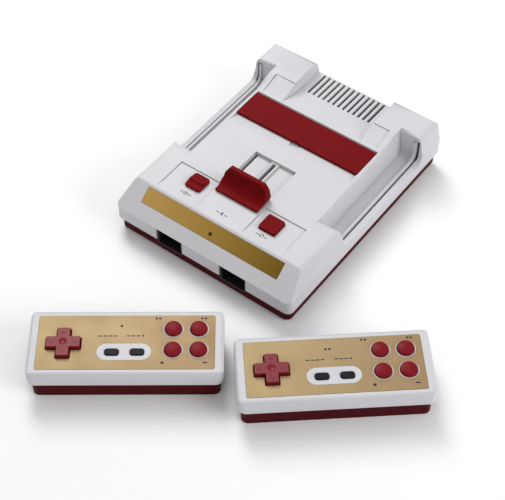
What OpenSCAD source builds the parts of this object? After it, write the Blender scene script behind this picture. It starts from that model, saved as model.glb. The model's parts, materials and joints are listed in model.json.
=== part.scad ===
// Table-top game console with two hand controllers, as separate pieces in one frame.
// Front is -Y, right is +X, up is +Z. The origin is on the table under the console's centre.

/* [Console shell] */
// Width of the console over its side rails
console_w = 162; // [161:0.5:164]
// Depth of the console from front to back
console_d = 204; // [203:0.5:206]
// Height of the flat deck above the table
deck_h = 42; // [41.8:0.1:42.4]
// Height of the two rear towers
tower_h = 47; // [46.5:0.1:48]
// Height of the seam between the lower and upper shells
seam_h = 12.5; // [12.3:0.1:12.8]
// Height where the front band ends and the slanted front panel starts
crease_h = 24.4; // [24:0.1:25]
// Wall thickness of the console's shells
wall = 2.4; // [2.2:0.1:2.5]
// Inset of the lower shell under the upper one
lower_inset = 2.2; // [2:0.1:2.3]

/* [Side wells and vents] */
// Height of the floor of the two side wells
well_floor_h = 21.6; // [21:0.1:22]
// Front end of the side wells
well_front = -32.4; // [-34:0.1:-30]
// Back end of the side wells
well_back = 74.8; // [74.5:0.1:76]
// Number of vent slots between the towers
vent_count = 13; // [9:1:13]
// Width of one vent slot
vent_w = 2.3; // [1.6:0.1:2.4]
// Distance between the centres of two vent slots
vent_pitch = 4.75; // [4.3:0.05:4.75]

/* [Cartridge slot] */
// Width of the red flap over the cartridge slot
flap_w = 113.2; // [112:0.1:113.6]
// Depth of the flap from its front edge to its hinge edge
flap_d = 27.8; // [27.4:0.1:28]
// Width of the hole that a cartridge goes through
cartridge_w = 110.8; // [110:0.1:111]
// Depth of the hole that a cartridge goes through
cartridge_d = 19; // [18:0.1:19]

/* [Controls] */
// Travel of the eject lever
eject_travel = 26; // [20:1:26]
// Rise of the ejector yoke over that travel
eject_lift = 5; // [4:0.5:5]
// Side of the square reset button
reset_w = 14.4; // [13:0.1:15]
// Width of the power knob
knob_w = 14.2; // [13:0.1:15]
// Depth of the power knob
knob_d = 14.6; // [14.4:0.1:15]

/* [Controllers] */
// Width of a controller
pad_w = 136; // [135:0.5:140]
// Depth of a controller
pad_d = 55; // [54.5:0.5:57]
// Thickness of a controller
pad_h = 28; // [28:0.1:29]
// Height of the seam between a controller's two shells
pad_seam_h = 15.6; // [15.4:0.1:15.8]
// Height of the cord entry's middle, just under the seam
cord_h = 15; // [14.8:0.1:15.2]
// Corner radius of a controller
pad_corner = 6; // [5:0.5:7]
// Diameter of the round buttons
button_d = 12.2; // [11:0.1:12.4]
// Span of the direction pad
dpad_span = 23.5; // [22:0.5:24]
// Width of one arm of the direction pad
dpad_arm = 8.9; // [8.6:0.1:9.4]

/* [Hidden] */

WHITE = [0.87, 0.86, 0.87];
MAROON = [0.32, 0.04, 0.08];
RED = [0.55, 0.05, 0.09];
BUTTON_RED = [0.60, 0.17, 0.24];
GOLD = [0.78, 0.66, 0.42];
BLACK = [0.05, 0.05, 0.06];
STEEL = [0.7, 0.7, 0.72];
BOARD_GREEN = [0.1, 0.35, 0.18];
SPRING_FN = 24;
BORE_FN = 48;
ARC_STEPS = 6;
OVER = 1;

// console outline
hw = console_w / 2;
hd = console_d / 2;
front_corner = 5;
back_corner = 1.2;
deck_in = deck_h - wall;
foot_h = 1.5;
floor_top = foot_h + 2.2;
nose_slope = 0.834;
nose_angle = atan(nose_slope);
nose_draft = 0.307;
strip_x = 62.6;
strip_u = [11.9, 25];
led_u = 16.7;
deck_side = 59.3;
well_side = 61.6;
rib_in = 73;
rib_h = 2.2;
rib_t = 1.4;
rail_h = 1.2;
rib_curve = 7;
floor_curve = 4;
cord_slot_top = 42;
slit_in = 75;
slit_out = 76.6;
cord_slot_w = 2.4;
valley_left = -34.2;
valley_right = 38.2;
valley_draft = 1.5;
tower_foot_y = 51;
tower_top_y = 68;
ridge_in = 54;
panel_sink = 0.8;
valley_y = 74;
valley_h = 36.5;
valley_back_h = 35.6;
vent_front = 74.5;
vent_back = 99.5;
vent_x = 1.1;

// cartridge slot: the flap turns about a steel pin inside its rolled rear edge
flap_front = 18.8;
flap_back = flap_front + flap_d;
flap_roll = 1.6;
hinge_y = flap_back - flap_roll;
hinge_z = deck_h - flap_roll;
flap_t = 2.4;
flap_gap = 0.35;
pin_r = 1;
pin_len = 116.6;
cart_back = 43;
cart_front = cart_back - cartridge_d;
well_block_h = 27.5;
connector_y = 33.5;

// eject mechanism
lever_front = -57.9;
lever_back = -41;
lever_foot = deck_h + 0.2;
lever_top = 58.5;
lever_w = 39.6;
hollow_r = 10;
hollow_z = 54.4;
stem_w = 2.6;
recess_w = 37.8;
recess_back = -7;
recess_floor = 38.9;
recess_under = 36.5;
slider_top = recess_under - 0.2;
slider_t = 2.4;
slider_w = 36.4;
stem_slot = 3.2;
side_slot = 2.5;
rim_w = 7;
guide_in = slider_w / 2 + 0.3;
push_y = -9;
push_h = 21.2;
ramp = eject_lift / eject_travel;
yoke_arm_x = 26;
yoke_post_x = 40;
yoke_post_y = 23;

// power and reset
control_x = 34.8;
control_y = -59.5;
reset_y = -60.5;
bay_in = 20.7;
bay_out = 58;
bay_back = -49;
bay_front = -80;
bay_h = deck_h - 1;

// electronics
board_z = 10;
board_t = 1.6;
board_top = board_z + board_t;
board_x = 57;
port_x = 29.45;
port_w = 24.3;
port_z0 = 8;
jack_z = 18.9;
jack_r = 4.15;
av_x = [-52, -38, -24];
dc_x = 40;
shell_screw_at = [[68, -90], [66, 10], [66, 90]];
board_screw_at = [[50, -70], [50, 66]];
foot_at = [[66, -76], [66, 76]];

// controllers: place and turn of each, and the layout of a face
pad_place = [[9.4, -197.1, 36.73], [136.6, -127.3, 40.13]];
pad_wall = 2.2;
pad_inset = 2.5;
plate_w = 123.2;
plate_d = 45.5;
plate_seat = pad_h - 0.5;
plate_top = pad_h + 0.1;
pad_ceiling = pad_h - 2.7;
dpad_at = [-43.3, -1.2];
button_x = [32.5, 50.2];
button_y = [10.9, -6.8];
collar_r = 7.2;
pill_at = [-1.1, -8];
pill_size = [37.8, 14];
select_at = [-9.5, -8.5];
start_at = [8, -8.5];
key_size = [9.8, 5.4];
key_r = 2;
pad_board_z = 17;
pad_board_top = pad_board_z + board_t;
pad_screw_at = [[60, 20], [60, -20], [-60, 20], [-60, -20]];
pivot_z = 22.4;
gland_r = 3.6;
cord_r = 1.9;

// ---- outlines ----

function unit(v) = v / norm(v);

// arc of radius r that replaces corner q between its neighbours p and s
function corner_arc(p, q, s, r) =
    let (u = unit(p - q), v = unit(s - q), half = acos(u * v) / 2)
    let (c = q + unit(u + v) * r / sin(half))
    let (a = q + u * r / tan(half) - c, b = q + v * r / tan(half) - c)
    let (a0 = atan2(a.y, a.x), turn = atan2(a.x * b.y - a.y * b.x, a * b))
    [for (i = [0:ARC_STEPS]) c + r * [cos(a0 + turn * i / ARC_STEPS), sin(a0 + turn * i / ARC_STEPS)]];

// polygon whose corner i is rounded to radii[i], or kept sharp at 0
function rounded(pts, radii) =
    let (n = len(pts))
    [for (i = [0:n - 1]) each (radii[i] > 0
        ? corner_arc(pts[(i + n - 1) % n], pts[i], pts[(i + 1) % n], radii[i])
        : [pts[i]])];

// a y-z outline drawn out along X, and an x-z outline drawn out along Y
module along_x(pts, x0, x1) {
    translate([x0, 0, 0]) rotate([90, 0, 90]) linear_extrude(x1 - x0) polygon(pts);
}

module along_y(pts, y0, y1) {
    translate([0, y1, 0]) rotate([90, 0, 0]) linear_extrude(y1 - y0) polygon(pts);
}

module box(low, high) {
    translate(low) cube(high - low);
}

module both_sides() {
    children();
    mirror([1, 0, 0]) children();
}

module rod(x, y, z0, z1, r) {
    translate([x, y, z0]) cylinder(r = r, h = z1 - z0, $fn = BORE_FN);
}

// rounded plate standing on z0, centred on the origin in plan
module slab(w, d, r, z0, z1) {
    translate([0, 0, z0]) linear_extrude(z1 - z0) union() {
        square([w, d - 2 * r], center = true);
        square([w - 2 * r, d], center = true);
        for (x = [-1, 1], y = [-1, 1])
            translate([x * (w / 2 - r), y * (d / 2 - r)]) circle(r = r, $fn = BORE_FN);
    }
}

// ---- console shell ----

// plan of the console, drawn in by g, with tighter corners at the front
module console_plan(g, z0, z1) {
    x = hw - g;
    y = hd - g;
    pts = [[-x, -y], [x, -y], [x, y], [-x, y]];
    radii = [front_corner, front_corner, back_corner, back_corner];
    translate([0, 0, z0]) linear_extrude(z1 - z0) polygon(rounded(pts, radii));
}

// each block of the shell is drawn in by g, so the same block makes the hollow
module front_block(g, base) {
    lean = g / cos(nose_angle);
    crest = deck_h - g;
    side_y = [
        [-hd + g, base],
        [-hd + g, crease_h + nose_slope * g - lean],
        [-hd + (crest - crease_h + lean) / nose_slope, crest],
        [well_front - g, crest],
        [well_front - g, base]
    ];
    top_x = hw - g - nose_draft * (crest - crease_h);
    side_x = [
        [-hw + g, base], [hw - g, base], [hw - g, crease_h], [top_x, crest],
        [-top_x, crest], [-hw + g, crease_h]
    ];
    intersection() {
        along_x(rounded(side_y, [0, 0, 3, max(8 - g, 1), 0]), -hw, hw);
        along_y(rounded(side_x, [0, 0, 3, 4, 4, 3]), -hd, well_front);
    }
}

module deck_block(g, base) {
    pts = [
        [-well_side + g, base], [well_side - g, base], [well_side - g, well_floor_h],
        [deck_side - g, deck_h - g], [g - deck_side, deck_h - g], [g - well_side, well_floor_h]
    ];
    along_y(rounded(pts, [0, 0, 0, 1.5, 1.5, 0]), -60, hd - 10);
}

module back_block(g, base) {
    crest = tower_h - g;
    side_y = [
        [well_back + g, base], [well_back + g, crest], [hd - 3 - g, crest],
        [hd - g, crease_h], [hd - g, base]
    ];
    side_x = [
        [-hw + g, base], [hw - g, base], [hw - g, crease_h], [hw - 3 - g, crest],
        [g + 3 - hw, crest], [g - hw, crease_h]
    ];
    intersection() {
        along_x(rounded(side_y, [0, 1.5, 5, 0, 0]), -hw, hw);
        along_y(rounded(side_x, [0, 0, 5, 7, 7, 5]), well_back, hd);
    }
}

// front slopes of the towers, on the deck
module tower_slopes(g, base) {
    crest = tower_h - g;
    foot = tower_foot_y - 2.5 + g;
    pts = [
        [foot, base], [foot, deck_h - g], [tower_top_y - 2.2 + g, crest],
        [well_back + 8, crest], [well_back + 8, base]
    ];
    both_sides() along_x(rounded(pts, [0, 0, 3, 0, 0]), -valley_left - 4, deck_side - g);
}

// sunk panel on each tower's slope, which leaves a ridge along the well
module slope_panels() {
    both_sides() along_x([
        [tower_foot_y, deck_h], [tower_top_y, tower_h - panel_sink],
        [tower_top_y, tower_h + OVER], [tower_foot_y - 3, tower_h + OVER], [tower_foot_y - 3, deck_h]
    ], -valley_left - 4, ridge_in);
}

// hollow between the towers, above the vents, with leaning sides
module valley(g) {
    pts = [
        [tower_foot_y - 3, deck_h - g], [valley_y, valley_h - g], [hd + OVER, valley_back_h - g],
        [hd + OVER, tower_h + OVER], [tower_foot_y - 3, tower_h + OVER]
    ];
    across = [
        [valley_left - g, valley_back_h - g], [valley_right + g, valley_back_h - g],
        [valley_right + valley_draft + g, tower_h + OVER], [valley_left - valley_draft - g, tower_h + OVER]
    ];
    intersection() {
        along_x(pts, valley_left - 5, valley_right + 5);
        along_y(across, tower_foot_y - 4, hd + OVER);
    }
}

// curve of radius r from a well's floor at height z up into its back wall at y
module well_curve(r, y, z, x0, x1) {
    arc = [for (i = [0:ARC_STEPS])
        [y - r, z + r] + r * [sin(90 * i / ARC_STEPS), -cos(90 * i / ARC_STEPS)]];
    along_x(concat([[y - r, seam_h]], arc, [[well_back + 2, z + r], [well_back + 2, seam_h]]), x0, x1);
}

module console_solid() {
    rib_top = well_floor_h + rib_h;
    rib_front = well_back - rib_t;
    rail_top = well_floor_h + rail_h;
    intersection() {
        console_plan(0, seam_h, tower_h + OVER);
        difference() {
            union() {
                front_block(0, seam_h);
                deck_block(0, seam_h);
                back_block(0, seam_h);
                tower_slopes(0, seam_h);
                box([-hw, well_front - 2, seam_h], [hw, well_back + 2, well_floor_h]);
                both_sides() {
                    well_curve(floor_curve, well_back, well_floor_h, deck_side, slit_in);
                    box([rib_in, well_front - 2, seam_h], [slit_in, well_back + 2, rib_top]);
                    box([rib_in, rib_front, seam_h], [slit_in, well_back + 2, cord_slot_top]);
                    well_curve(rib_curve, rib_front, rib_top, rib_in, slit_in);
                    box([slit_out, well_front - 2, seam_h], [hw, well_back + 2, rail_top]);
                    well_curve(rib_curve, well_back, rail_top, slit_out, hw);
                }
            }
            valley(0);
            slope_panels();
        }
    }
}

module console_cavity() {
    base = seam_h - OVER;
    intersection() {
        console_plan(wall, base, tower_h);
        difference() {
            union() {
                front_block(wall, base);
                deck_block(wall, base);
                back_block(wall, base);
                tower_slopes(wall, base);
                box([2 - rib_in, well_front - 6, base],
                    [rib_in - 2, well_back + 6, well_floor_h - wall]);
            }
            valley(wall);
        }
    }
}

// seats, walls and bosses inside the hollow
module console_ribs() {
    box([-58.8, 16, well_block_h], [58.8, 49.5, deck_in + OVER]);
    box([-58.8, 5, recess_under], [58.8, 17, deck_in + OVER]);
    box([-21.5, -62, recess_under], [21.5, 14, deck_in + OVER]);
    both_sides() {
        box([guide_in, -58, 32], [guide_in + 2, 16, recess_under]);
        box([guide_in - 2.2, -58, 32], [guide_in + 2, 16, 33.6]);
        rod(shell_screw_at[0].x, shell_screw_at[0].y, seam_h, 30.5, 4.5);
        rod(shell_screw_at[1].x, shell_screw_at[1].y, seam_h, well_floor_h - OVER, 4.5);
        rod(shell_screw_at[2].x, shell_screw_at[2].y, seam_h, tower_h - OVER, 4.5);
    }
    rod(0, -74, 23, deck_in + OVER, 2);
}

module at_nose() {
    translate([0, -hd, crease_h]) rotate([nose_angle, 0, 0]) children();
}

module slot_cuts() {
    side = flap_w / 2 + flap_gap;
    box([-side, flap_front - flap_gap, deck_h - flap_t - 0.1], [side, flap_back + 0.8, deck_h + OVER]);
    box([-side, hinge_y - 3, hinge_z - 2.1], [side, flap_back + 0.8, deck_h]);
    box([-cartridge_w / 2, cart_front, well_block_h - OVER], [cartridge_w / 2, cart_back, deck_h]);
    // shallow ramp and finger dimple in front of the flap
    along_x([[7.5, deck_h], [flap_front, deck_h - 2.4], [flap_front, deck_h + OVER], [7.5, deck_h + OVER]],
        -flap_w / 2, flap_w / 2);
    rod(0, flap_front - 1, deck_h - 3.4, deck_h + OVER, 4.5);
    translate([-pin_len / 2, hinge_y, hinge_z]) rotate([0, 90, 0])
        cylinder(r = pin_r, h = pin_len, $fn = BORE_FN);
}

module control_cuts() {
    half_w = recess_w / 2;
    half_slot = stem_slot / 2;
    front = lever_front + 2;
    low = recess_under - OVER;
    box([-half_w, front, recess_floor], [half_w, recess_back, deck_h + OVER]);
    box([-half_slot, front, low], [half_slot, recess_back - 1.5, recess_floor + OVER]);
    box([-half_w, front, low], [side_slot - half_w, recess_back, recess_floor + OVER]);
    both_sides()
        along_x([[bay_back, bay_h], [bay_back, deck_h + OVER], [bay_front, deck_h + OVER],
            [bay_front, deck_h], [bay_front + 8, bay_h]], bay_in, bay_out);
    box([-control_x - 3.1, control_y - 3, deck_in - OVER], [3.1 - control_x, control_y + 7, deck_h]);
    r = reset_w / 2 + 0.35;
    box([control_x - r, reset_y - r, deck_in - OVER], [control_x + r, reset_y + r, deck_h]);
}

module shell_cuts() {
    both_sides() {
        box([slit_in, well_front - 1, well_floor_h - 2.5], [slit_out, well_back + 3, well_floor_h + 2]);
        box([slit_in, well_back - 3, well_floor_h - 2.5],
            [slit_in + cord_slot_w, well_back + 3, cord_slot_top]);
        box([port_x - port_w / 2, -hd - OVER, seam_h - OVER],
            [port_x + port_w / 2, 6 - hd, crease_h - 0.2]);
        for (p = shell_screw_at) rod(p.x, p.y, seam_h - OVER, 21, 1.5);
    }
    at_nose() {
        box([-strip_x - 0.2, strip_u[0] - 0.2, -0.6], [strip_x + 0.2, strip_u[1] + 0.2, OVER]);
        rod(0, led_u, -7, OVER, 1.5);
    }
    for (i = [0:vent_count - 1]) {
        x = vent_x + (i - (vent_count - 1) / 2) * vent_pitch;
        box([x - vent_w / 2, vent_front, 20], [x + vent_w / 2, vent_back, valley_h + OVER]);
    }
    for (x = av_x) translate([x, hd - 5, jack_z]) rotate([-90, 0, 0])
        cylinder(r = 5.6, h = 8, $fn = BORE_FN);
    translate([dc_x, hd - 5, jack_z]) rotate([-90, 0, 0]) cylinder(r = 4.6, h = 8, $fn = BORE_FN);
}

// raised rim round the middle slot of the eject recess
module slot_rim() {
    difference() {
        box([-rim_w / 2, lever_front + 3, recess_floor - OVER],
            [rim_w / 2, recess_back, recess_floor + 1.5]);
        box([-stem_slot / 2, lever_front + 2, recess_floor - 2],
            [stem_slot / 2, recess_back - 1.5, recess_floor + 3]);
    }
}

module top_shell() {
    color(WHITE) union() {
        difference() {
            console_solid();
            difference() {
                console_cavity();
                console_ribs();
            }
            slot_cuts();
            control_cuts();
            shell_cuts();
        }
        slot_rim();
    }
}

module bottom_shell() {
    color(MAROON) difference() {
        union() {
            difference() {
                console_plan(lower_inset, foot_h, seam_h);
                console_plan(lower_inset + wall, floor_top, seam_h + OVER);
            }
            both_sides() {
                for (p = shell_screw_at) rod(p.x, p.y, floor_top - 0.2, seam_h, 4.5);
                for (p = board_screw_at) rod(p.x, p.y, floor_top - 0.2, board_z, 3.5);
                rod(yoke_post_x, yoke_post_y, floor_top - 0.2, well_block_h - 0.2, 2);
            }
        }
        both_sides() {
            for (p = shell_screw_at) {
                rod(p.x, p.y, foot_h - OVER, seam_h + OVER, 1.5);
                rod(p.x, p.y, foot_h - OVER, 5, 3.2);
            }
            for (p = board_screw_at) rod(p.x, p.y, 4.4, board_z + OVER, 1.25);
            box([port_x - port_w / 2, -hd, port_z0], [port_x + port_w / 2, 8 - hd, seam_h + OVER]);
            for (i = [0:7]) box([12 + 5 * i, 30, foot_h - OVER], [14.2 + 5 * i, 60, floor_top + OVER]);
        }
    }
}

module front_plate() {
    color(GOLD) difference() {
        at_nose() box([-strip_x, strip_u[0], -0.6], [strip_x, strip_u[1], 0.1]);
        at_nose() rod(0, led_u, -2, OVER, 1.5);
    }
}

module power_led() {
    color([0.3, 0.05, 0.05]) at_nose() {
        rod(0, led_u, -6.5, 0.1, 1.45);
        translate([0, led_u, 0.1]) scale([1, 1, 0.35]) sphere(r = 1.45, $fn = 32);
    }
}

module shell_screws() {
    color(STEEL) both_sides() for (p = shell_screw_at) difference() {
        union() {
            rod(p.x, p.y, 5, 20.5, 1.5);
            rod(p.x, p.y, 2.9, 5, 3);
        }
        box([p.x - 2, p.y - 0.4, 2.8], [p.x + 2, p.y + 0.4, 4]);
        box([p.x - 0.4, p.y - 2, 2.8], [p.x + 0.4, p.y + 2, 4]);
    }
}

module rubber_feet() {
    color(BLACK) both_sides() for (p = foot_at) rod(p.x, p.y, 0, foot_h, 5.5);
}

// ---- cartridge slot ----

module cartridge_flap() {
    half = flap_w / 2;
    color(RED) difference() {
        union() {
            intersection() {
                box([-half, flap_front, deck_h - flap_t], [half, hinge_y, deck_h]);
                translate([0, flap_front + flap_d / 2, 0]) slab(flap_w, flap_d, 1.6, 0, deck_h);
            }
            translate([-half, hinge_y, hinge_z]) rotate([0, 90, 0])
                cylinder(r = flap_roll, h = flap_w, $fn = BORE_FN);
        }
        translate([-half - OVER, hinge_y, hinge_z]) rotate([0, 90, 0])
            cylinder(r = pin_r + 0.06, h = flap_w + 2 * OVER, $fn = BORE_FN);
        // finger notch at the middle of the front edge
        rod(0, flap_front - 1.4, deck_h - flap_t - OVER, deck_h + OVER, 2.4);
    }
}

module flap_hinge_pin() {
    color(STEEL) translate([-pin_len / 2, hinge_y, hinge_z]) rotate([0, 90, 0])
        cylinder(r = pin_r, h = pin_len, $fn = BORE_FN);
}

module cartridge_connector() {
    color(BLACK) difference() {
        box([-56, connector_y - 6.5, board_top], [56, connector_y + 6.5, well_block_h - 0.3]);
        box([-47, connector_y - 2.4, 15], [47, connector_y + 2.4, well_block_h]);
    }
}

module connector_contacts() {
    contacts = 30;
    pitch = 3;
    color([0.8, 0.65, 0.3]) for (i = [0:contacts - 1], s = [-1, 1]) {
        x = (i - (contacts - 1) / 2) * pitch;
        y = connector_y + s * 1.9;
        box([x - 0.6, y - 0.5, 15], [x + 0.6, y + 0.5, well_block_h - 1.2]);
    }
}

// ---- eject mechanism ----

module eject_lever() {
    half = lever_w / 2;
    front = [[0.8 - half, lever_foot], [half - 0.8, lever_foot], [half, 46.5], [half - 1.2, 53],
        [half - 5, lever_top], [5 - half, lever_top], [1.2 - half, 53], [-half, 46.5]];
    side = [[lever_front, lever_foot], [lever_back, lever_foot], [lever_back, 55], [-41.4, lever_top],
        [-45.2, lever_top], [-46, hollow_z], [lever_front, 46]];
    color(RED) union() {
        difference() {
            intersection() {
                along_x(rounded(side, [0.6, 0.6, 0, 1, 1.2, 0, 1]), -half, half);
                along_y(rounded(front, [0.4, 0.4, 4, 5, 2.5, 2.5, 5, 4]), lever_front, lever_back + OVER);
            }
            // hollowed front face
            translate([-lever_w, -46 - hollow_r, hollow_z]) rotate([0, 90, 0])
                cylinder(r = hollow_r, h = 2 * lever_w, $fn = 96);
        }
        box([-stem_w / 2, lever_front + 2.9, slider_top], [stem_w / 2, lever_back - 0.5, lever_foot + 0.5]);
    }
}

module eject_slider() {
    color(BLACK) union() {
        box([-slider_w / 2, -56, slider_top - slider_t], [slider_w / 2, -10.4, slider_top]);
        box([-14, -15.5, 17], [14, -12.5, slider_top - OVER]);
        box([-29, -15.5, 17], [29, push_y, push_h]);
    }
}

module ejector_yoke() {
    // the ramps' undersides fall towards the back, so a push from the front lifts them
    function under(y) = push_h + 0.12 - ramp * (y - push_y);
    arm = [[-11, under(-11)], [20, under(20)], [20, 21.5], [15, 21.5], [8, 24.6], [-11, 24.6]];
    color(BLACK) difference() {
        union() {
            box([-54, 19.5, 17], [54, 26.5, 21.5]);
            both_sides() {
                along_x(arm, yoke_arm_x - 3, yoke_arm_x + 3);
                box([48, cart_front + 0.4, 21], [52, 26.4, 28.4]);
            }
        }
        both_sides() rod(yoke_post_x, yoke_post_y, 16, 23, 2.08);
    }
}

// coil spring drawn as its outer form: a ribbed tube
module coil(r, wire, length) {
    turns = floor(length / wire);
    rotate_extrude($fn = SPRING_FN) {
        translate([r - 0.7 * wire, 0]) square([0.4 * wire, length]);
        for (i = [0:turns - 1])
            translate([r - wire / 2, (i + 0.5) * length / turns]) circle(d = wire, $fn = SPRING_FN);
    }
}

module eject_spring() {
    color(STEEL) translate([0, -71.9, 26]) rotate([-90, 0, 0]) coil(2.6, 2.4, 56.2);
}

// ---- power and reset ----

module power_knob() {
    x = -control_x;
    half_w = knob_w / 2;
    half_d = knob_d / 2;
    color(RED) union() {
        translate([x, control_y, 0]) {
            difference() {
                slab(knob_w, knob_d, 2.2, bay_h + 0.15, bay_h + 2.6);
                // two hollows leave a ridge across the middle
                for (s = [-1, 1]) translate([-half_w - OVER, s * (half_d - 2.6), bay_h + 9.4])
                    rotate([0, 90, 0]) cylinder(r = 7.6, h = knob_w + 2 * OVER, $fn = 96);
            }
            slab(knob_w - 2.4, 2, 0.6, bay_h + 1, bay_h + 3.4);
        }
        box([x - 2.8, control_y - 2.6, 24], [x + 2.8, control_y + 2.4, bay_h + 0.5]);
        box([x - 4.6, control_y - 2.6, 36.6], [x + 4.6, control_y + 2.4, deck_in - 0.9]);
        difference() {
            box([x - 2.8, control_y - 4, 17.4], [x + 2.8, control_y + 4, 24.5]);
            box([x - 3, control_y - 1.6, 17], [x + 3, control_y + 1.6, 20.5]);
        }
    }
}

module power_switch() {
    color(STEEL) translate([-control_x, control_y + 2, 0]) difference() {
        slab(8, 17, 0.6, board_top, board_top + 5);
        slab(3, 8, 0.4, board_top + 1, board_top + 6);
    }
}

module power_switch_slider() {
    color(BLACK) box([-control_x - 1.3, control_y - 1.5, board_top + 1.2],
        [1.3 - control_x, control_y + 1.5, 20.2]);
}

module reset_button() {
    color(RED) translate([control_x, reset_y, 0]) {
        difference() {
            slab(reset_w, reset_w, 1.2, 38.5, bay_h + 2.8);
            translate([0, 0, bay_h + 2.3 + 60]) sphere(r = 60, $fn = 96);
        }
        slab(reset_w + 2.6, reset_w + 2.6, 1.4, 36.6, deck_in - 0.3);
        rod(0, 0, 19.2, 37, 2.6);
    }
}

module reset_spring() {
    color(STEEL) translate([control_x, reset_y, board_top]) coil(6, 1.6, 36.6 - board_top);
}

module reset_switch() {
    color(BLACK) translate([control_x, reset_y, 0]) {
        slab(6, 6, 0.5, board_top, 16);
        rod(0, 0, 15.5, 17.6, 1.6);
    }
}

// ---- electronics ----

module main_board() {
    color(BOARD_GREEN) difference() {
        box([-board_x, -84, board_z], [board_x, 78, board_top]);
        both_sides() {
            for (p = board_screw_at) rod(p.x, p.y, board_z - OVER, board_top + OVER, 1.4);
            rod(yoke_post_x, yoke_post_y, board_z - OVER, board_top + OVER, 2.5);
        }
    }
}

module chip(x, y, w, d) {
    h = 3.4;
    translate([x, y, 0]) {
        box([-w / 2, -d / 2, board_top], [w / 2, d / 2, board_top + h]);
        legs = floor(w / 2.54);
        for (i = [0:legs - 1], s = [-1, 1]) {
            leg_x = (i - (legs - 1) / 2) * 2.54;
            leg_y = s * (d / 2 + 0.4);
            box([leg_x - 0.35, leg_y - 0.5, board_top], [leg_x + 0.35, leg_y + 0.5, board_top + 2.4]);
        }
    }
}

module chips() {
    color(BLACK) {
        chip(0, -36, 51, 14);
        chip(0, -58, 38, 14);
        chip(0, -74, 18, 7);
        chip(-25, 58, 34, 14);
    }
}

module capacitors() {
    color([0.12, 0.16, 0.3]) {
        rod(12, 60, board_top, board_top + 14, 5);
        rod(-2, 70, board_top, board_top + 11, 4);
        rod(12, 72, board_top, board_top + 11, 3.2);
        rod(-48, -30, board_top, board_top + 9, 3.2);
        rod(48, -38, board_top, board_top + 9, 3.2);
    }
}

module voltage_regulator() {
    color(STEEL) {
        box([22, 62, board_top], [46, 64, board_top + 18]);
        for (i = [0:4]) box([22 + 5.5 * i, 63.5, board_top + 3], [24 + 5.5 * i, 68, board_top + 18]);
        box([29, 57.6, board_top + 5], [39, 62.1, board_top + 15]);
        for (i = [-1:1]) box([33.6 + 2.54 * i, 59, board_top], [34.4 + 2.54 * i, 59.8, board_top + 5.2]);
    }
}

module port_housings() {
    z1 = crease_h - 0.4;
    color(BLACK) both_sides() difference() {
        union() {
            box([port_x - port_w / 2 + 0.15, -101.2, port_z0 + 0.1], [port_x + port_w / 2 - 0.15, -84.1, z1]);
            box([port_x - 10, -84.2, board_top], [port_x + 10, -78, 20]);
        }
        box([port_x - 10.4, -102, port_z0 + 1.7], [port_x + 10.4, -90, z1 - 1.5]);
    }
}

module port_pins() {
    mid = (port_z0 + crease_h) / 2;
    color(STEEL) both_sides() {
        for (i = [0:4]) translate([port_x + (i - 2) * 2.8, -90, mid + 1.4]) rotate([90, 0, 0])
            cylinder(r = 0.5, h = 5, $fn = 16);
        for (i = [0:3]) translate([port_x + (i - 1.5) * 2.8, -90, mid - 1.4]) rotate([90, 0, 0])
            cylinder(r = 0.5, h = 5, $fn = 16);
    }
}

module dc_jack() {
    color(BLACK) difference() {
        union() {
            box([dc_x - 4.5, hd - 17, board_top + 2.8], [dc_x + 4.5, hd - 4.5, jack_z + 4.5]);
            translate([dc_x, hd - 5, jack_z]) rotate([-90, 0, 0]) cylinder(r = 4.4, h = 4.9, $fn = BORE_FN);
            box([dc_x - 4.5, hd - 30, board_top], [dc_x + 4.5, hd - 16, board_top + 6]);
        }
        difference() {
            translate([dc_x, hd - 10, jack_z]) rotate([-90, 0, 0]) cylinder(r = 2.8, h = 11, $fn = BORE_FN);
            translate([dc_x, hd - 11, jack_z]) rotate([-90, 0, 0]) cylinder(r = 1, h = 10, $fn = BORE_FN);
        }
    }
}

module av_jacks() {
    color([0.75, 0.65, 0.3]) for (x = av_x) {
        difference() {
            translate([x, hd - 5, jack_z]) rotate([-90, 0, 0]) cylinder(r = jack_r, h = 13, $fn = BORE_FN);
            translate([x, hd, jack_z]) rotate([-90, 0, 0]) cylinder(r = 1.7, h = 9, $fn = BORE_FN);
        }
        translate([x, hd - 5, jack_z]) rotate([-90, 0, 0]) cylinder(r = 5.5, h = 5.4, $fn = BORE_FN);
        box([x - 5, hd - 30, board_top], [x + 5, hd - 5, board_top + 12]);
    }
}

module board_screws() {
    color(STEEL) both_sides() for (p = board_screw_at) {
        rod(p.x, p.y, 4.6, board_top + 0.1, 1.25);
        rod(p.x, p.y, board_top, board_top + 1.6, 2.5);
    }
}

// ---- controllers, in their own frame: centre on the table, face up ----

module at_pad(i) {
    p = pad_place[i];
    translate([p.x, p.y, 0]) rotate([0, 0, p.z]) children();
}

// block with rounded upright corners and a rounded top edge
module pad_block(w, d, z0, z1, corner, edge) {
    half_w = w / 2;
    half_d = d / 2;
    intersection() {
        slab(w, d, corner, z0, z1);
        along_x(rounded([[-half_d, z0], [half_d, z0], [half_d, z1], [-half_d, z1]], [0, 0, edge, edge]),
            -half_w, half_w);
        along_y(rounded([[-half_w, z0], [half_w, z0], [half_w, z1], [-half_w, z1]], [0, 0, edge, edge]),
            -half_d, half_d);
    }
}

// plus-shaped prism for the direction pad and its hole
module plus(span, arm, z0, z1) {
    translate([dpad_at.x, dpad_at.y, 0]) {
        slab(span, arm, 0.8, z0, z1);
        slab(arm, span, 0.8, z0, z1);
    }
}

module key_shape(at, grow, z0, z1) {
    translate([at.x, at.y, 0]) slab(key_size.x + grow, key_size.y + grow, key_r + grow / 2, z0, z1);
}

module gland_hole() {
    translate([0, pad_d / 2 - 8, cord_h]) rotate([-90, 0, 0])
        cylinder(r = gland_r + 0.05, h = 12, $fn = BORE_FN);
}

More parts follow.
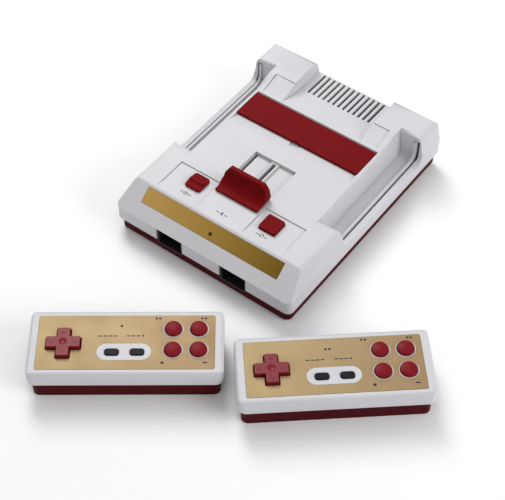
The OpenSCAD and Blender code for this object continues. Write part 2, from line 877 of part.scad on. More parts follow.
module pad_top_shell() {
    t = 2 * pad_wall;
    color(WHITE) difference() {
        union() {
            difference() {
                pad_block(pad_w, pad_d, pad_seam_h, pad_h, pad_corner, 2.4);
                difference() {
                    slab(pad_w - t, pad_d - t, pad_corner - pad_wall, pad_seam_h - OVER, pad_ceiling);
                    for (p = pad_screw_at) rod(p.x, p.y, pad_seam_h, pad_ceiling + OVER, 3.2);
                }
                slab(plate_w + 0.3, plate_d + 0.3, 1.6, plate_seat, pad_h + OVER);
            }
            // white collars round the buttons and the white pill, up to the face plate's level
            for (x = button_x, y = button_y) rod(x, y, plate_seat - 0.2, plate_top + 0.2, collar_r);
            translate([pill_at.x, pill_at.y, 0])
                slab(pill_size.x, pill_size.y, pill_size.y / 2 - 0.1, plate_seat - 0.2, plate_top);
        }
        for (x = button_x, y = button_y) rod(x, y, pad_ceiling - OVER, pad_h + OVER, button_d / 2 + 0.2);
        plus(dpad_span + 1.8, dpad_arm + 1.8, pad_ceiling - OVER, pad_h + OVER);
        key_shape(select_at, 0.5, pad_ceiling - OVER, pad_h + OVER);
        key_shape(start_at, 0.5, pad_ceiling - OVER, pad_h + OVER);
        for (p = pad_screw_at) rod(p.x, p.y, pad_seam_h - OVER, 22, 1.2);
        gland_hole();
    }
}

module pad_bottom_shell() {
    w = pad_w - 2 * pad_inset;
    d = pad_d - 2 * pad_inset;
    t = 2 * pad_wall;
    color(MAROON) difference() {
        union() {
            difference() {
                slab(w, d, pad_corner - 1, 0, pad_seam_h);
                slab(w - t, d - t, pad_corner - 1 - pad_wall, 2, pad_seam_h + OVER);
            }
            for (p = pad_screw_at) rod(p.x, p.y, 1.8, pad_seam_h, 3.2);
            for (x = [-50, -15, 15, 50], y = [-14, 14]) rod(x, y, 1.8, pad_board_z, 2);
        }
        for (p = pad_screw_at) {
            rod(p.x, p.y, -OVER, pad_seam_h + OVER, 1.2);
            rod(p.x, p.y, -OVER, 3.4, 2.5);
        }
        gland_hole();
    }
}

module pad_face_plate() {
    color(GOLD) difference() {
        slab(plate_w, plate_d, 1.5, plate_seat, plate_top);
        for (x = button_x, y = button_y) rod(x, y, plate_seat - OVER, plate_top + OVER, collar_r);
        plus(dpad_span + 1.8, dpad_arm + 1.8, plate_seat - OVER, plate_top + OVER);
        translate([pill_at.x, pill_at.y, 0])
            slab(pill_size.x, pill_size.y, pill_size.y / 2 - 0.1, plate_seat - OVER, plate_top + OVER);
    }
}

module pad_dpad() {
    top = pad_h + 3.2;
    color(BUTTON_RED) difference() {
        union() {
            plus(dpad_span, dpad_arm, pivot_z + 0.4, top);
            rod(dpad_at.x, dpad_at.y, pivot_z + 0.2, pivot_z + 1.4, 13);
        }
        translate([dpad_at.x, dpad_at.y, top + 5.2]) sphere(r = 6, $fn = 64);
    }
}

module pad_rocker() {
    color(STEEL) rod(dpad_at.x, dpad_at.y, pivot_z - 1.4, pivot_z - 0.3, 4);
}

module pad_button(x, y) {
    top = pad_h + 3;
    color(BUTTON_RED) {
        intersection() {
            rod(x, y, pad_ceiling - 1, top, button_d / 2);
            translate([x, y, top - 17]) sphere(r = 17, $fn = 96);
        }
        rod(x, y, pad_ceiling - 1.6, pad_ceiling - 0.1, 7.1);
    }
}

module pad_key(at) {
    color(BLACK) {
        key_shape(at, 0, pad_ceiling - 1, pad_h + 1.1);
        key_shape(at, 2, pad_ceiling - 1.6, pad_ceiling - 0.1);
    }
}

module pad_membrane() {
    sheet_top = pad_board_top + 1;
    color([0.25, 0.25, 0.27]) union() {
        slab(112, 33, 3, pad_board_top, sheet_top);
        for (x = button_x, y = button_y) translate([x, y, sheet_top])
            cylinder(r1 = 5.5, r2 = 4.2, h = 2.4, $fn = BORE_FN);
        for (at = [select_at, start_at]) translate([at.x, at.y, sheet_top])
            cylinder(r1 = 3.6, r2 = 2.6, h = 2.7, $fn = BORE_FN);
        for (a = [0:90:270]) translate([dpad_at.x + 9 * cos(a), dpad_at.y + 9 * sin(a), sheet_top])
            cylinder(r1 = 2.6, r2 = 2, h = 1.3, $fn = BORE_FN);
    }
}

module pad_board() {
    color(BOARD_GREEN) box([-56, -18, pad_board_z], [56, 17, pad_board_top]);
}

module pad_screws() {
    color(STEEL) for (p = pad_screw_at) difference() {
        union() {
            rod(p.x, p.y, 3.4, 21.5, 1.2);
            rod(p.x, p.y, 1.6, 3.4, 2.4);
        }
        box([p.x - 1.5, p.y - 0.3, 1.5], [p.x + 1.5, p.y + 0.3, 2.5]);
        box([p.x - 0.3, p.y - 1.5, 1.5], [p.x + 0.3, p.y + 1.5, 2.5]);
    }
}

// rubber cord entry in the middle of the rear edge
module pad_gland() {
    color(BLACK) translate([0, pad_d / 2 - 7, cord_h]) rotate([-90, 0, 0]) difference() {
        union() {
            cylinder(r = gland_r, h = 8.4, $fn = BORE_FN);
            cylinder(r = gland_r + 1.2, h = 2, $fn = BORE_FN);
        }
        translate([0, 0, -OVER]) cylinder(r = cord_r, h = 12, $fn = BORE_FN);
    }
}

module pad1_top_shell() { at_pad(0) pad_top_shell(); }
module pad1_bottom_shell() { at_pad(0) pad_bottom_shell(); }
module pad1_face_plate() { at_pad(0) pad_face_plate(); }
module pad1_dpad() { at_pad(0) pad_dpad(); }
module pad1_rocker() { at_pad(0) pad_rocker(); }
module pad1_button_a() { at_pad(0) pad_button(button_x[1], button_y[1]); }
module pad1_button_b() { at_pad(0) pad_button(button_x[0], button_y[1]); }
module pad1_turbo_a() { at_pad(0) pad_button(button_x[1], button_y[0]); }
module pad1_turbo_b() { at_pad(0) pad_button(button_x[0], button_y[0]); }
module pad1_select() { at_pad(0) pad_key(select_at); }
module pad1_start() { at_pad(0) pad_key(start_at); }
module pad1_membrane() { at_pad(0) pad_membrane(); }
module pad1_board() { at_pad(0) pad_board(); }
module pad1_screws() { at_pad(0) pad_screws(); }
module pad1_gland() { at_pad(0) pad_gland(); }
module pad2_top_shell() { at_pad(1) pad_top_shell(); }
module pad2_bottom_shell() { at_pad(1) pad_bottom_shell(); }
module pad2_face_plate() { at_pad(1) pad_face_plate(); }
module pad2_dpad() { at_pad(1) pad_dpad(); }
module pad2_rocker() { at_pad(1) pad_rocker(); }
module pad2_button_a() { at_pad(1) pad_button(button_x[1], button_y[1]); }
module pad2_button_b() { at_pad(1) pad_button(button_x[0], button_y[1]); }
module pad2_turbo_a() { at_pad(1) pad_button(button_x[1], button_y[0]); }
module pad2_turbo_b() { at_pad(1) pad_button(button_x[0], button_y[0]); }
module pad2_select() { at_pad(1) pad_key(select_at); }
module pad2_start() { at_pad(1) pad_key(start_at); }
module pad2_membrane() { at_pad(1) pad_membrane(); }
module pad2_board() { at_pad(1) pad_board(); }
module pad2_screws() { at_pad(1) pad_screws(); }
module pad2_gland() { at_pad(1) pad_gland(); }

top_shell();
bottom_shell();
front_plate();
power_led();
cartridge_flap();
flap_hinge_pin();
eject_lever();
eject_slider();
eject_spring();
ejector_yoke();
power_knob();
power_switch();
power_switch_slider();
reset_button();
reset_spring();
reset_switch();
main_board();
cartridge_connector();
connector_contacts();
chips();
capacitors();
voltage_regulator();
port_housings();
port_pins();
dc_jack();
av_jacks();
shell_screws();
board_screws();
rubber_feet();
pad1_top_shell();
pad1_bottom_shell();
pad1_face_plate();
pad1_dpad();
pad1_rocker();
pad1_button_a();
pad1_button_b();
pad1_turbo_a();
pad1_turbo_b();
pad1_select();
pad1_start();
pad1_membrane();
pad1_board();
pad1_screws();
pad1_gland();
pad2_top_shell();
pad2_bottom_shell();
pad2_face_plate();
pad2_dpad();
pad2_rocker();
pad2_button_a();
pad2_button_b();
pad2_turbo_a();
pad2_turbo_b();
pad2_select();
pad2_start();
pad2_membrane();
pad2_board();
pad2_screws();
pad2_gland();
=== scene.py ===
import json
import math

import bmesh
import bpy
from mathutils import Matrix, Vector


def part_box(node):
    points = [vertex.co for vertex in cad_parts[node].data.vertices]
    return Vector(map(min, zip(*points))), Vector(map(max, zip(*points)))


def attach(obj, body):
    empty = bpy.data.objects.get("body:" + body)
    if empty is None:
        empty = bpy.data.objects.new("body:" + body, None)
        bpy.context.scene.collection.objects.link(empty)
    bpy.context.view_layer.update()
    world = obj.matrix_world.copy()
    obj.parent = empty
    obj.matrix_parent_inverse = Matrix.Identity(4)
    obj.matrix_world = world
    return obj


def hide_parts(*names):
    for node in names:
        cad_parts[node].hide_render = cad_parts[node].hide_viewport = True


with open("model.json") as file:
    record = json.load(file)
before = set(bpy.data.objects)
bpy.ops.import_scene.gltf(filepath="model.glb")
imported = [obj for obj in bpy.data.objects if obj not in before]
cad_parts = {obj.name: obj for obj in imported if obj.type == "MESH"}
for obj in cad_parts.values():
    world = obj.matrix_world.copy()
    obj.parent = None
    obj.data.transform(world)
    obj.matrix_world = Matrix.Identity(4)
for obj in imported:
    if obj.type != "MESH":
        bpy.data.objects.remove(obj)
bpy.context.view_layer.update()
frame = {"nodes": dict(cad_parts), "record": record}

RECORD = frame["record"]
SLOTS = {row["node"]: row["material_slot"] for row in RECORD["subparts"]}
BODY_OF = {node: body for body, nodes in RECORD["behaviour"]["bodies"].items() for node in nodes}
MM = 0.001
FULL_TURN = 2 * math.pi
PAD_TURN = {"pad1": math.radians(36.73), "pad2": math.radians(40.13)}


# ---- camera, floor and light ----

CAMERA_AZIMUTH = 36.51      # degrees round from the console's front
CAMERA_ELEVATION = 50.32
CAMERA_DISTANCE = 1.0575    # metres, along the line of sight from the origin
CAMERA_SIDE = (-0.0221, -0.0445)   # metres to the right and up, across the line of sight
CAMERA_LENS = 95.87         # millimetres, on a sensor 36 mm wide
FLOOR_HALF = 6              # metres
WORLD_LIGHT = 0.52

LIGHTS = [
    # name, place in metres, diameter in metres, power in watts; each one points at the origin
    ("key", (-0.9, 0.6, 1.2), 0.8, 12),
    ("side", (1.4, 0.1, 0.8), 1.0, 9.6),
    ("top", (-0.5, 0.4, 1.5), 0.6, 3.6),
]


def link(obj):
    bpy.context.scene.collection.objects.link(obj)
    return obj


def make_camera():
    azimuth, elevation = math.radians(CAMERA_AZIMUTH), math.radians(CAMERA_ELEVATION)
    right = Vector((math.cos(azimuth), math.sin(azimuth), 0))
    back = Vector((math.sin(azimuth) * math.cos(elevation),
                   -math.cos(azimuth) * math.cos(elevation),
                   math.sin(elevation)))
    up = back.cross(right)
    data = bpy.data.cameras.new("camera")
    data.sensor_width = 36
    data.lens = CAMERA_LENS
    data.clip_start, data.clip_end = 0.05, 20
    camera = link(bpy.data.objects.new("camera", data))
    camera.location = back * CAMERA_DISTANCE + right * CAMERA_SIDE[0] + up * CAMERA_SIDE[1]
    camera.rotation_mode = "QUATERNION"
    camera.rotation_quaternion = (-back).to_track_quat("-Z", "Y")
    bpy.context.scene.camera = camera


def make_floor():
    mesh = bpy.data.meshes.new("floor")
    h = FLOOR_HALF
    mesh.from_pydata([(-h, -h, 0), (h, -h, 0), (h, h, 0), (-h, h, 0)], [], [(0, 1, 2, 3)])
    floor = link(bpy.data.objects.new("floor", mesh))
    floor.data.materials.append(paper())


def make_lights():
    world = bpy.data.worlds.new("studio")
    bpy.context.scene.world = world
    world.use_nodes = True
    background = world.node_tree.nodes["Background"]
    background.inputs["Color"].default_value = (1, 1, 1, 1)
    background.inputs["Strength"].default_value = WORLD_LIGHT
    for name, place, size, power in LIGHTS:
        data = bpy.data.lights.new(name, "AREA")
        data.shape = "DISK"
        data.size = size
        data.energy = power
        light = link(bpy.data.objects.new(name, data))
        light.location = place
        light.rotation_mode = "QUATERNION"
        light.rotation_quaternion = (-Vector(place)).to_track_quat("-Z", "Y")


def set_view():
    """Colours as they are, without a film look."""
    view = bpy.context.scene.view_settings
    view.view_transform = "Standard"
    view.look = "None"


# ---- shader helpers ----

NOISE_RANGE = (0.3, 0.7)    # most of a noise pattern's values lie between these


def new_material(name):
    material = bpy.data.materials.new(name)
    material.use_nodes = True
    return material, material.node_tree, material.node_tree.nodes["Principled BSDF"]


def object_place(tree, scale=(1, 1, 1), turn=0.0):
    """The place in the object's own metres, scaled along the axes and then turned about Z."""
    place = tree.nodes.new("ShaderNodeTexCoord")
    mapping = tree.nodes.new("ShaderNodeMapping")
    mapping.inputs["Rotation"].default_value = (0, 0, turn)
    mapping.inputs["Scale"].default_value = scale
    tree.links.new(place.outputs["Object"], mapping.inputs["Vector"])
    return mapping.outputs["Vector"]


def noise(tree, kind, scale=(1, 1, 1), turn=0.0):
    """A noise pattern. It is drawn out along an axis whose scale is under 1."""
    fineness, detail = kind
    pattern = tree.nodes.new("ShaderNodeTexNoise")
    pattern.inputs["Scale"].default_value = fineness
    pattern.inputs["Detail"].default_value = detail
    tree.links.new(object_place(tree, scale, turn), pattern.inputs["Vector"])
    return pattern.outputs["Fac"]


def spread(tree, source, low, high, source_range=NOISE_RANGE):
    """The source's values, moved from their own range to the range from low to high."""
    ranged = tree.nodes.new("ShaderNodeMapRange")
    ranged.inputs["From Min"].default_value = source_range[0]
    ranged.inputs["From Max"].default_value = source_range[1]
    ranged.inputs["To Min"].default_value = low
    ranged.inputs["To Max"].default_value = high
    tree.links.new(source, ranged.inputs["Value"])
    return ranged.outputs["Result"]


def ramp(tree, source, stops):
    """Colours at the places given, blended between them."""
    node = tree.nodes.new("ShaderNodeValToRGB")
    band = node.color_ramp
    band.elements[0].position, band.elements[1].position = stops[0][0], stops[-1][0]
    band.elements[0].color, band.elements[1].color = (*stops[0][1], 1), (*stops[-1][1], 1)
    for place, colour in stops[1:-1]:
        band.elements.new(place).color = (*colour, 1)
    tree.links.new(source, node.inputs["Fac"])
    return node.outputs["Color"]


def shades(colour, change):
    """A slightly darker and a slightly lighter shade of the colour, as the stops of a ramp."""
    low, high = NOISE_RANGE
    return [(low, [c * (1 - change) for c in colour]),
            (high, [min(c * (1 + change), 1) for c in colour])]


def multiplied(tree, first, second, share=1.0):
    mix = tree.nodes.new("ShaderNodeMix")
    mix.data_type = "RGBA"
    mix.blend_type = "MULTIPLY"
    share_socket, first_colour, second_colour = mix.inputs[0], mix.inputs[6], mix.inputs[7]
    share_socket.default_value = share
    tree.links.new(first, first_colour)
    tree.links.new(second, second_colour)
    return mix.outputs[2]


def bumped(tree, shader, source, depth, strength):
    bump = tree.nodes.new("ShaderNodeBump")
    bump.inputs["Strength"].default_value = strength
    bump.inputs["Distance"].default_value = depth
    tree.links.new(source, bump.inputs["Height"])
    tree.links.new(bump.outputs["Normal"], shader.inputs["Normal"])


# ---- kinds of material ----

# how fine each noise pattern is, and its levels of detail
TONE_NOISE = (28, 3)
GLOSS_NOISE = (60, 2)
GRAIN_NOISE = (2600, 2)
LINE_NOISE = (700, 3)
FLAKE_NOISE = (1500, 2)
BRUSHING_NOISE = (900, 2)
PRINT_GLOSS_NOISE = (45, 3)
TOOTH_NOISE = (300, 3)

GRAIN = 0.02 * MM           # depths of surface grain
FINE_GRAIN = 0.01 * MM
FINEST_GRAIN = 0.008 * MM
DUST_AND_SHADE_REACH = 2.5 * MM       # how far the painted shade in corners, tinted like dust, reaches from a corner
# painted shade in corners, tinted like dust: colours from the deepest corner to the open surface
DUST_AND_SHADE_STOPS = [(0.2, (0.70, 0.66, 0.60)), (0.85, (1, 1, 1))]
BRUSHING_SCALE = (0.02, 1, 1)
PRINT_ROUGHNESS = 0.5


def plastic(name, colour, roughness, specular=0.5, change=0.03, grain=GRAIN, dust_and_shade=0.0):
    """Moulded plastic: fine spark-eroded grain, slow changes in colour and gloss, painted shade in
    corners tinted like dust.
    """
    material, tree, shader = new_material(name)
    tint = ramp(tree, noise(tree, TONE_NOISE), shades(colour, change))
    if dust_and_shade:
        # painted shade: where ambient occlusion finds a corner, the colour is darkened with a dusty
        # tint
        corner = tree.nodes.new("ShaderNodeAmbientOcclusion")
        corner.samples = 6
        corner.inputs["Distance"].default_value = DUST_AND_SHADE_REACH
        tint = multiplied(tree, tint, ramp(tree, corner.outputs["AO"], DUST_AND_SHADE_STOPS), dust_and_shade)
    gloss = spread(tree, noise(tree, GLOSS_NOISE), roughness * 0.9, roughness * 1.12)
    tree.links.new(tint, shader.inputs["Base Color"])
    tree.links.new(gloss, shader.inputs["Roughness"])
    shader.inputs["Specular IOR Level"].default_value = specular
    bumped(tree, shader, noise(tree, GRAIN_NOISE), grain, 0.5)
    return material


def metal(name, colour, roughness, line_scale):
    """Bare metal with fine lines, drawn out along the axis whose line scale is under 1."""
    material, tree, shader = new_material(name)
    lines = noise(tree, LINE_NOISE, line_scale)
    gloss = spread(tree, lines, roughness * 0.85, roughness * 1.2)
    tree.links.new(ramp(tree, lines, shades(colour, 0.06)), shader.inputs["Base Color"])
    tree.links.new(gloss, shader.inputs["Roughness"])
    shader.inputs["Metallic"].default_value = 1.0
    bumped(tree, shader, lines, FINE_GRAIN, 0.3)
    return material


def gold_print(name, sheen_tones, centre, half_length, turn=0.0):
    """Metallic gold ink on a plate: flakes, faint brushing, and a painted sheen that runs from lighter
    at one end to darker at the other.

    The centre is the plate's middle, measured along its own length."""
    material, tree, shader = new_material(name)
    split = tree.nodes.new("ShaderNodeSeparateXYZ")
    tree.links.new(object_place(tree, turn=-turn), split.inputs["Vector"])
    # painted sheen: the place along the plate picks a lighter or darker gold
    along = spread(tree, split.outputs["X"], 0, 1, (centre - half_length, centre + half_length))
    flakes = noise(tree, FLAKE_NOISE)
    flake_tint = ramp(tree, flakes, shades((0.93, 0.93, 0.93), 0.06))
    brushing = noise(tree, BRUSHING_NOISE, BRUSHING_SCALE, -turn)
    brushing_tint = ramp(tree, brushing, shades((0.96, 0.96, 0.96), 0.03))
    tone = multiplied(tree, multiplied(tree, ramp(tree, along, sheen_tones), flake_tint), brushing_tint)
    gloss = spread(tree, noise(tree, PRINT_GLOSS_NOISE),
                   PRINT_ROUGHNESS * 0.88, PRINT_ROUGHNESS * 1.1)
    tree.links.new(tone, shader.inputs["Base Color"])
    tree.links.new(gloss, shader.inputs["Roughness"])
    shader.inputs["Metallic"].default_value = 0.25
    shader.inputs["Specular IOR Level"].default_value = 0.2
    bumped(tree, shader, flakes, FINEST_GRAIN, 0.4)
    return material


def paper():
    """Seamless white studio paper with a barely visible tooth."""
    material, tree, shader = new_material("floor_paper")
    tooth = ramp(tree, noise(tree, TOOTH_NOISE), shades((0.93, 0.93, 0.94), 0.004))
    tree.links.new(tooth, shader.inputs["Base Color"])
    shader.inputs["Roughness"].default_value = 0.9
    shader.inputs["Specular IOR Level"].default_value = 0.1
    return material


# ---- the materials themselves ----

# named after the record's slots, apart from the cross pads' plastic and the marks' ink
PLASTICS = {
    # the white plastic carries painted shade in its corners, tinted like dust
    "white_plastic": {"colour": (0.6, 0.595, 0.62), "roughness": 0.45, "specular": 0.25,
                      "change": 0.012, "dust_and_shade": 0.8},
    "maroon_plastic": {"colour": (0.065, 0.002, 0.005), "roughness": 0.5, "specular": 0.06,
                       "change": 0.06},
    "red_plastic": {"colour": (0.165, 0.0025, 0.0045), "roughness": 0.5, "specular": 0.045,
                    "change": 0.05},
    "button_plastic": {"colour": (0.195, 0.0065, 0.012), "roughness": 0.42, "specular": 0.1,
                       "change": 0.04, "grain": FINEST_GRAIN},
    "cross_plastic": {"colour": (0.2, 0.009, 0.016), "roughness": 0.34, "specular": 0.22,
                      "change": 0.04, "grain": FINEST_GRAIN},
    "black_plastic": {"colour": (0.012, 0.012, 0.014), "roughness": 0.5, "specular": 0.3,
                      "change": 0.08},
    "key_rubber": {"colour": (0.008, 0.009, 0.014), "roughness": 0.5, "specular": 0.12,
                   "change": 0.08, "grain": FINE_GRAIN},
    "membrane_rubber": {"colour": (0.1, 0.1, 0.11), "roughness": 0.6, "specular": 0.3},
    "rubber": {"colour": (0.02, 0.02, 0.02), "roughness": 0.7, "specular": 0.3, "change": 0.1},
    "board": {"colour": (0.02, 0.13, 0.045), "roughness": 0.35, "change": 0.12},
    "capacitor_sleeve": {"colour": (0.03, 0.05, 0.14), "roughness": 0.3},
    "led_lens": {"colour": (0.06, 0.004, 0.004), "roughness": 0.2, "specular": 0.4},
    "ink": {"colour": (0.03, 0.03, 0.045), "roughness": 0.6, "specular": 0.15, "change": 0.2},
}
METALS = {
    "steel": {"colour": (0.6, 0.6, 0.62), "roughness": 0.3, "line_scale": (1, 1, 0.1)},
    "heat_sink": {"colour": (0.65, 0.66, 0.68), "roughness": 0.4, "line_scale": (0.1, 1, 1)},
    "contact_metal": {"colour": (0.7, 0.52, 0.22), "roughness": 0.25, "line_scale": (1, 0.1, 1)},
}
STRIP_HALF = 62.6 * MM      # half the length of the gold strip and of a controller's plate
PLATE_HALF = 61.6 * MM
# painted sheen of the gold: lighter at the left end, darker at the right
STRIP_SHEEN_TONES = [(0, (0.62, 0.38, 0.11)), (0.5, (0.44, 0.265, 0.05)), (1, (0.22, 0.125, 0.009))]
PLATE_SHEEN_TONES = [(0, (0.43, 0.315, 0.155)), (0.5, (0.39, 0.28, 0.145)), (1, (0.36, 0.24, 0.12))]


def middle_of(node):
    low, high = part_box(node)
    return (low + high) / 2


def plate_print(pad):
    turn = PAD_TURN[pad]
    middle = middle_of(pad + "_face_plate")
    centre = middle.x * math.cos(turn) + middle.y * math.sin(turn)
    return gold_print(pad + "_gold_plate", PLATE_SHEEN_TONES, centre, PLATE_HALF, turn)


MATERIALS = {name: plastic(name, **look) for name, look in PLASTICS.items()}
MATERIALS.update({name: metal(name, **look) for name, look in METALS.items()})
MATERIALS["gold_strip"] = gold_print("gold_strip", STRIP_SHEEN_TONES, 0, STRIP_HALF)
PLATE_MATERIALS = {pad: plate_print(pad) for pad in PAD_TURN}


def finish_of(node):
    if SLOTS[node] == "gold_plate":
        return PLATE_MATERIALS[node.split("_")[0]]
    if node.endswith("_dpad"):
        return MATERIALS["cross_plastic"]
    return MATERIALS[SLOTS[node]]


# ---- moulded pieces ----

WELD_DISTANCE = 0.001 * MM
FLAT_ANGLE = math.radians(0.5)     # faces that meet at less than this become one
SHARP_ANGLE = math.radians(40)     # edges that turn more than this are rounded
CREASE_ANGLE = math.radians(32)    # edges that turn more than this are shaded as creases

# width in millimetres of the rounding on each moulded piece's sharp edges
ROUNDING = {
    "top_shell": 0, "bottom_shell": 0.4, "front_plate": 0.05, "cartridge_flap": 0.2,
    "eject_lever": 0.2, "eject_slider": 0.3, "power_knob": 0.35, "reset_button": 0.2,
    "port_housings": 0.25, "av_jacks": 0.1, "cartridge_connector": 0.3, "rubber_feet": 0.35,
    "shell_screws": 0.15,
}
PAD_ROUNDING = {
    "top_shell": 0.2, "bottom_shell": 0.35, "face_plate": 0.05, "dpad": 0.4, "button_a": 0.35,
    "button_b": 0.35, "turbo_a": 0.35, "turbo_b": 0.35, "select": 0.35, "start": 0.35,
    "screws": 0.15,
}
for pad in PAD_TURN:
    ROUNDING.update({f"{pad}_{piece}": width for piece, width in PAD_ROUNDING.items()})

# on these, an edge is rounded only where every edge beside it is longer than this many widths
SMALL_CORNERED = ("eject_lever", "pad1_bottom_shell", "pad2_bottom_shell")
CLEARANCE = 1.5


def moulded_mesh(node, width, shortest):
    """A copy of the node's form, welded, with its sharp edges rounded to the width given.

    An edge stays sharp unless every edge beside it is longer than the shortest length."""
    shape = bmesh.new()
    shape.from_mesh(frame["nodes"][node].data)
    bmesh.ops.remove_doubles(shape, verts=shape.verts, dist=WELD_DISTANCE)
    bmesh.ops.dissolve_limit(shape, angle_limit=FLAT_ANGLE, verts=shape.verts, edges=shape.edges)
    edges = []
    for edge in shape.edges:
        beside = [other.calc_length() for end in edge.verts for other in end.link_edges]
        if edge.calc_face_angle(0) > SHARP_ANGLE and min(beside) > shortest:
            edges.append(edge)
    if width:
        bmesh.ops.bevel(shape, geom=edges, offset=width, segments=2, profile=0.5,
                        affect="EDGES", clamp_overlap=False)
    mesh = bpy.data.meshes.new("v_" + node)
    shape.to_mesh(mesh)
    shape.free()
    return mesh


def smooth(piece):
    """Smooth shading between the creases, led by the large faces, so that flat faces stay flat."""
    piece.data.shade_smooth()
    piece.data.set_sharp_from_angle(angle=CREASE_ANGLE)
    weighted = piece.modifiers.new("flat faces", "WEIGHTED_NORMAL")
    weighted.keep_sharp = True
    weighted.weight = 50


def placed(name, mesh, body, material):
    mesh.materials.append(material)
    piece = link(bpy.data.objects.new(name, mesh))
    smooth(piece)
    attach(piece, body)
    return piece


def moulded(node):
    """The node's moulded piece, shown in place of the node."""
    width = ROUNDING[node] * MM
    shortest = CLEARANCE * width if node in SMALL_CORNERED else 0
    mesh = moulded_mesh(node, width, shortest)
    piece = placed("v_" + node, mesh, BODY_OF[node], finish_of(node))
    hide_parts(node)


def finish_nodes():
    for node, source in frame["nodes"].items():
        source.data.materials.clear()
        source.data.materials.append(finish_of(node))
        if node in ROUNDING:
            moulded(node)


# ---- outlines of marks, in millimetres ----

def circle_points(x, y, radius, count=28, start=0.0, sweep=FULL_TURN):
    """Points along a circle or, where the sweep isn't a full turn, along an arc with both its ends."""
    steps = count if sweep == FULL_TURN else count + 1
    return [(x + radius * math.cos(start + sweep * k / count),
             y + radius * math.sin(start + sweep * k / count)) for k in range(steps)]


def dash(x, y, length, width):
    """A stroke with round ends, along X."""
    radius = width / 2
    half = length / 2 - radius
    return (circle_points(x + half, y, radius, 8, -math.pi / 2, math.pi)
            + circle_points(x - half, y, radius, 8, math.pi / 2, math.pi))


def arc_band(x, y, radius, width, start, sweep):
    """Part of a ring: out along its outer arc and back along its inner one."""
    outer = circle_points(x, y, radius, 28, start, sweep)
    inner = circle_points(x, y, radius - width, 28, start, sweep)
    return outer + inner[::-1]


def triangle(x, y, size, turn):
    """A triangle pointing the way that turn says, in degrees from +X."""
    return [(x + size * math.cos(math.radians(turn + k)), y + size * math.sin(math.radians(turn + k)))
            for k in (0, 120, 240)]


def upright(x, y, width, height):
    """A bar along Y, whose near end has its middle at the place given."""
    half = width / 2
    return [(x - half, y), (x + half, y), (x + half, y + height), (x - half, y + height)]


# ---- solid marks ----

INK_DEPTH = 0.03 * MM
INK_LIFT = 0.005 * MM       # the gap between a mark and the surface under it


def add_sheet(shape, outline, height_at, depth, place):
    """A closed thin piece with the outline given, lying at a height that may change along Y."""
    lower = [shape.verts.new(place @ Vector((x * MM, y * MM, height_at(y)))) for x, y in outline]
    upper = [shape.verts.new(place @ Vector((x * MM, y * MM, height_at(y) + depth)))
             for x, y in outline]
    shape.faces.new(upper)
    shape.faces.new(lower[::-1])
    count = len(outline)
    for k in range(count):
        after = (k + 1) % count
        shape.faces.new((lower[k], lower[after], upper[after], upper[k]))


def marks(name, body, material, outlines, height_at, depth, place):
    shape = bmesh.new()
    for outline in outlines:
        add_sheet(shape, outline, height_at, depth, place)
    mesh = bpy.data.meshes.new(name)
    shape.to_mesh(mesh)
    shape.free()
    placed(name, mesh, body, material)


# ---- the console's marks ----

DECK_TOP = 42 * MM
BAY_TOP = 41 * MM
BAY_RAMP_START = -72        # millimetres along Y: in front of it each bay's floor slopes up
BAY_RAMP_SLOPE = 0.126
POWER_X, EJECT_X, RESET_X = -36, -1.3, 34
BAY_SIGN_Y, EJECT_SIGN_Y = -72.3, -72.8
SIGN_RADIUS, SIGN_STROKE = 1.7, 0.55
SIGN_SWEEP = math.radians(290)
STANDBY_START, ROUND_ARROW_START = math.radians(125), math.radians(60)
DASH_LENGTH, DASH_WIDTH = 3, 0.6
DASH_REACH, EJECT_DASH_REACH = 3.6, 3.7     # from a sign's middle to the dashes beside it


def bay_floor(y):
    return BAY_TOP + max(BAY_RAMP_START - y, 0) * BAY_RAMP_SLOPE * MM


def dashes_beside(x, y, reach):
    return [dash(x + side * reach, y, DASH_LENGTH, DASH_WIDTH) for side in (-1, 1)]


def standby_sign(x, y):
    circle = arc_band(x, y, SIGN_RADIUS, SIGN_STROKE, STANDBY_START, SIGN_SWEEP)
    return [circle, upright(x, y, 0.56, 1.9)]


def round_arrow(x, y):
    shaft = arc_band(x, y, SIGN_RADIUS, SIGN_STROKE, ROUND_ARROW_START, SIGN_SWEEP)
    return [shaft, triangle(x + 1.2, y + 1.05, 0.95, -40)]


def eject_sign(x, y):
    return [triangle(x, y, 1.5, 90), dash(x, y - 1.6, 2.6, DASH_WIDTH)]


def console_marks():
    """Generic signs in front of the three controls: a standby sign, an eject sign and a round arrow."""
    flat = Matrix.Identity(4)
    bays = standby_sign(POWER_X, BAY_SIGN_Y) + dashes_beside(POWER_X, BAY_SIGN_Y, DASH_REACH)
    bays += round_arrow(RESET_X, BAY_SIGN_Y) + dashes_beside(RESET_X, BAY_SIGN_Y, DASH_REACH)
    marks("v_marks_bays", "console", MATERIALS["ink"], bays,
          lambda y: bay_floor(y) + INK_LIFT, INK_DEPTH, flat)
    deck = eject_sign(EJECT_X, EJECT_SIGN_Y)
    deck += dashes_beside(EJECT_X, EJECT_SIGN_Y - 0.5, EJECT_DASH_REACH)
    marks("v_marks_deck", "console", MATERIALS["ink"], deck,
          lambda y: DECK_TOP + INK_LIFT, INK_DEPTH, flat)


# ---- a controller's marks, in millimetres from the middle of its plate ----

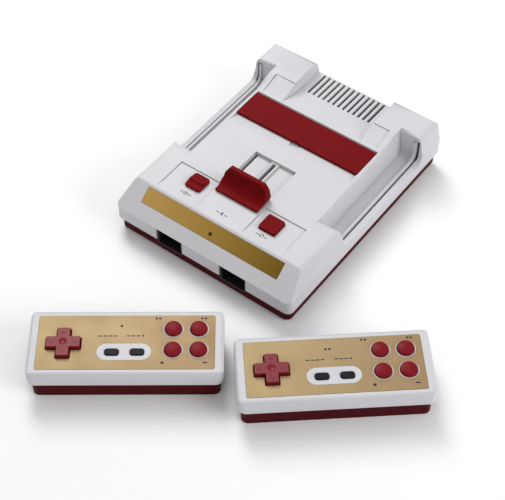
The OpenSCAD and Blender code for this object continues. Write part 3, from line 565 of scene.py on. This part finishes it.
DOTS_X, DOTS_Y = -3.6, 13.9
DOT_STEP, DOT_RADIUS = 2.8, 0.95
KEYS_Y, KEY_STEP = 5.3, 3.4
SELECT_X, START_X = -18, 1.6        # the first dash over each key
KEY_DASH = (2.7, 0.8)               # length and width
KEY_ARROW_X, KEY_ARROW_SIZE = 11.7, 1.2
RAPID_Y, RAPID_STEP, RAPID_SIZE = 20.3, 2.5, 1.35
RAPID_LEFT_X, RAPID_RIGHT_X = 20.6, 52.6
BUTTONS_Y = -17.4
BUTTON_DOT_X, BUTTON_DOT_RADIUS = 25.6, 1.15
BUTTON_BAR_X, BUTTON_BAR = 55, (3.4, 1.1)

ARROW_AT = 8.2                      # from the cross pad's middle
ARROW_SIZE = 1.7
ARROW_RISE = 0.3 * MM
ARROW_SINK = 0.2 * MM


def number_dots(count):
    """As many dots as the controller's number says."""
    return [circle_points(DOTS_X + DOT_STEP * (k - (count - 1) / 2), DOTS_Y, DOT_RADIUS, 20)
            for k in range(count)]


def key_signs():
    """Four dashes over one key, and three dashes and an arrow over the other."""
    dashes = [dash(x + KEY_STEP * k, KEYS_Y, *KEY_DASH)
              for x, count in ((SELECT_X, 4), (START_X, 3)) for k in range(count)]
    return dashes + [triangle(KEY_ARROW_X, KEYS_Y, KEY_ARROW_SIZE, 0)]


def rapid_signs():
    """A double arrow by each upper button."""
    return [triangle(x + RAPID_STEP * k, RAPID_Y, RAPID_SIZE, 0)
            for x in (RAPID_LEFT_X, RAPID_RIGHT_X) for k in (0, 1)]


def button_signs():
    """A dot by one lower button and a bar by the other."""
    return [circle_points(BUTTON_DOT_X, BUTTONS_Y, BUTTON_DOT_RADIUS, 24),
            dash(BUTTON_BAR_X, BUTTONS_Y, *BUTTON_BAR)]


def arrow(turn):
    """An arrow on one arm of the cross, pointing away from its middle."""
    way = math.radians(turn)
    return triangle(ARROW_AT * math.cos(way), ARROW_AT * math.sin(way), ARROW_SIZE, turn)


def over(node, pad):
    """The node's middle, at the table's height, with the controller's turn."""
    middle = middle_of(node)
    return Matrix.Translation((middle.x, middle.y, 0)) @ Matrix.Rotation(PAD_TURN[pad], 4, "Z")


def pad_marks(pad, count):
    """Generic marks on a controller's plate."""
    plate = pad + "_face_plate"
    plate_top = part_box(plate)[1].z
    outlines = number_dots(count) + key_signs() + rapid_signs() + button_signs()
    marks(f"v_{pad}_marks", pad, MATERIALS["ink"], outlines,
          lambda y: plate_top + INK_LIFT, INK_DEPTH, over(plate, pad))


def pad_arrows(pad):
    """Raised arrows on a controller's cross pad."""
    cross = pad + "_dpad"
    cross_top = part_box(cross)[1].z
    outlines = [arrow(turn) for turn in (0, 90, 180, 270)]
    marks(f"v_{pad}_arrows", BODY_OF[cross], MATERIALS["cross_plastic"], outlines,
          lambda y: cross_top - ARROW_SINK, ARROW_RISE + ARROW_SINK, over(cross, pad))


# ---- the whole scene ----

finish_nodes()
console_marks()
for count, pad in enumerate(PAD_TURN, 1):
    pad_marks(pad, count)
    pad_arrows(pad)

make_camera()
make_floor()
make_lights()
set_view()
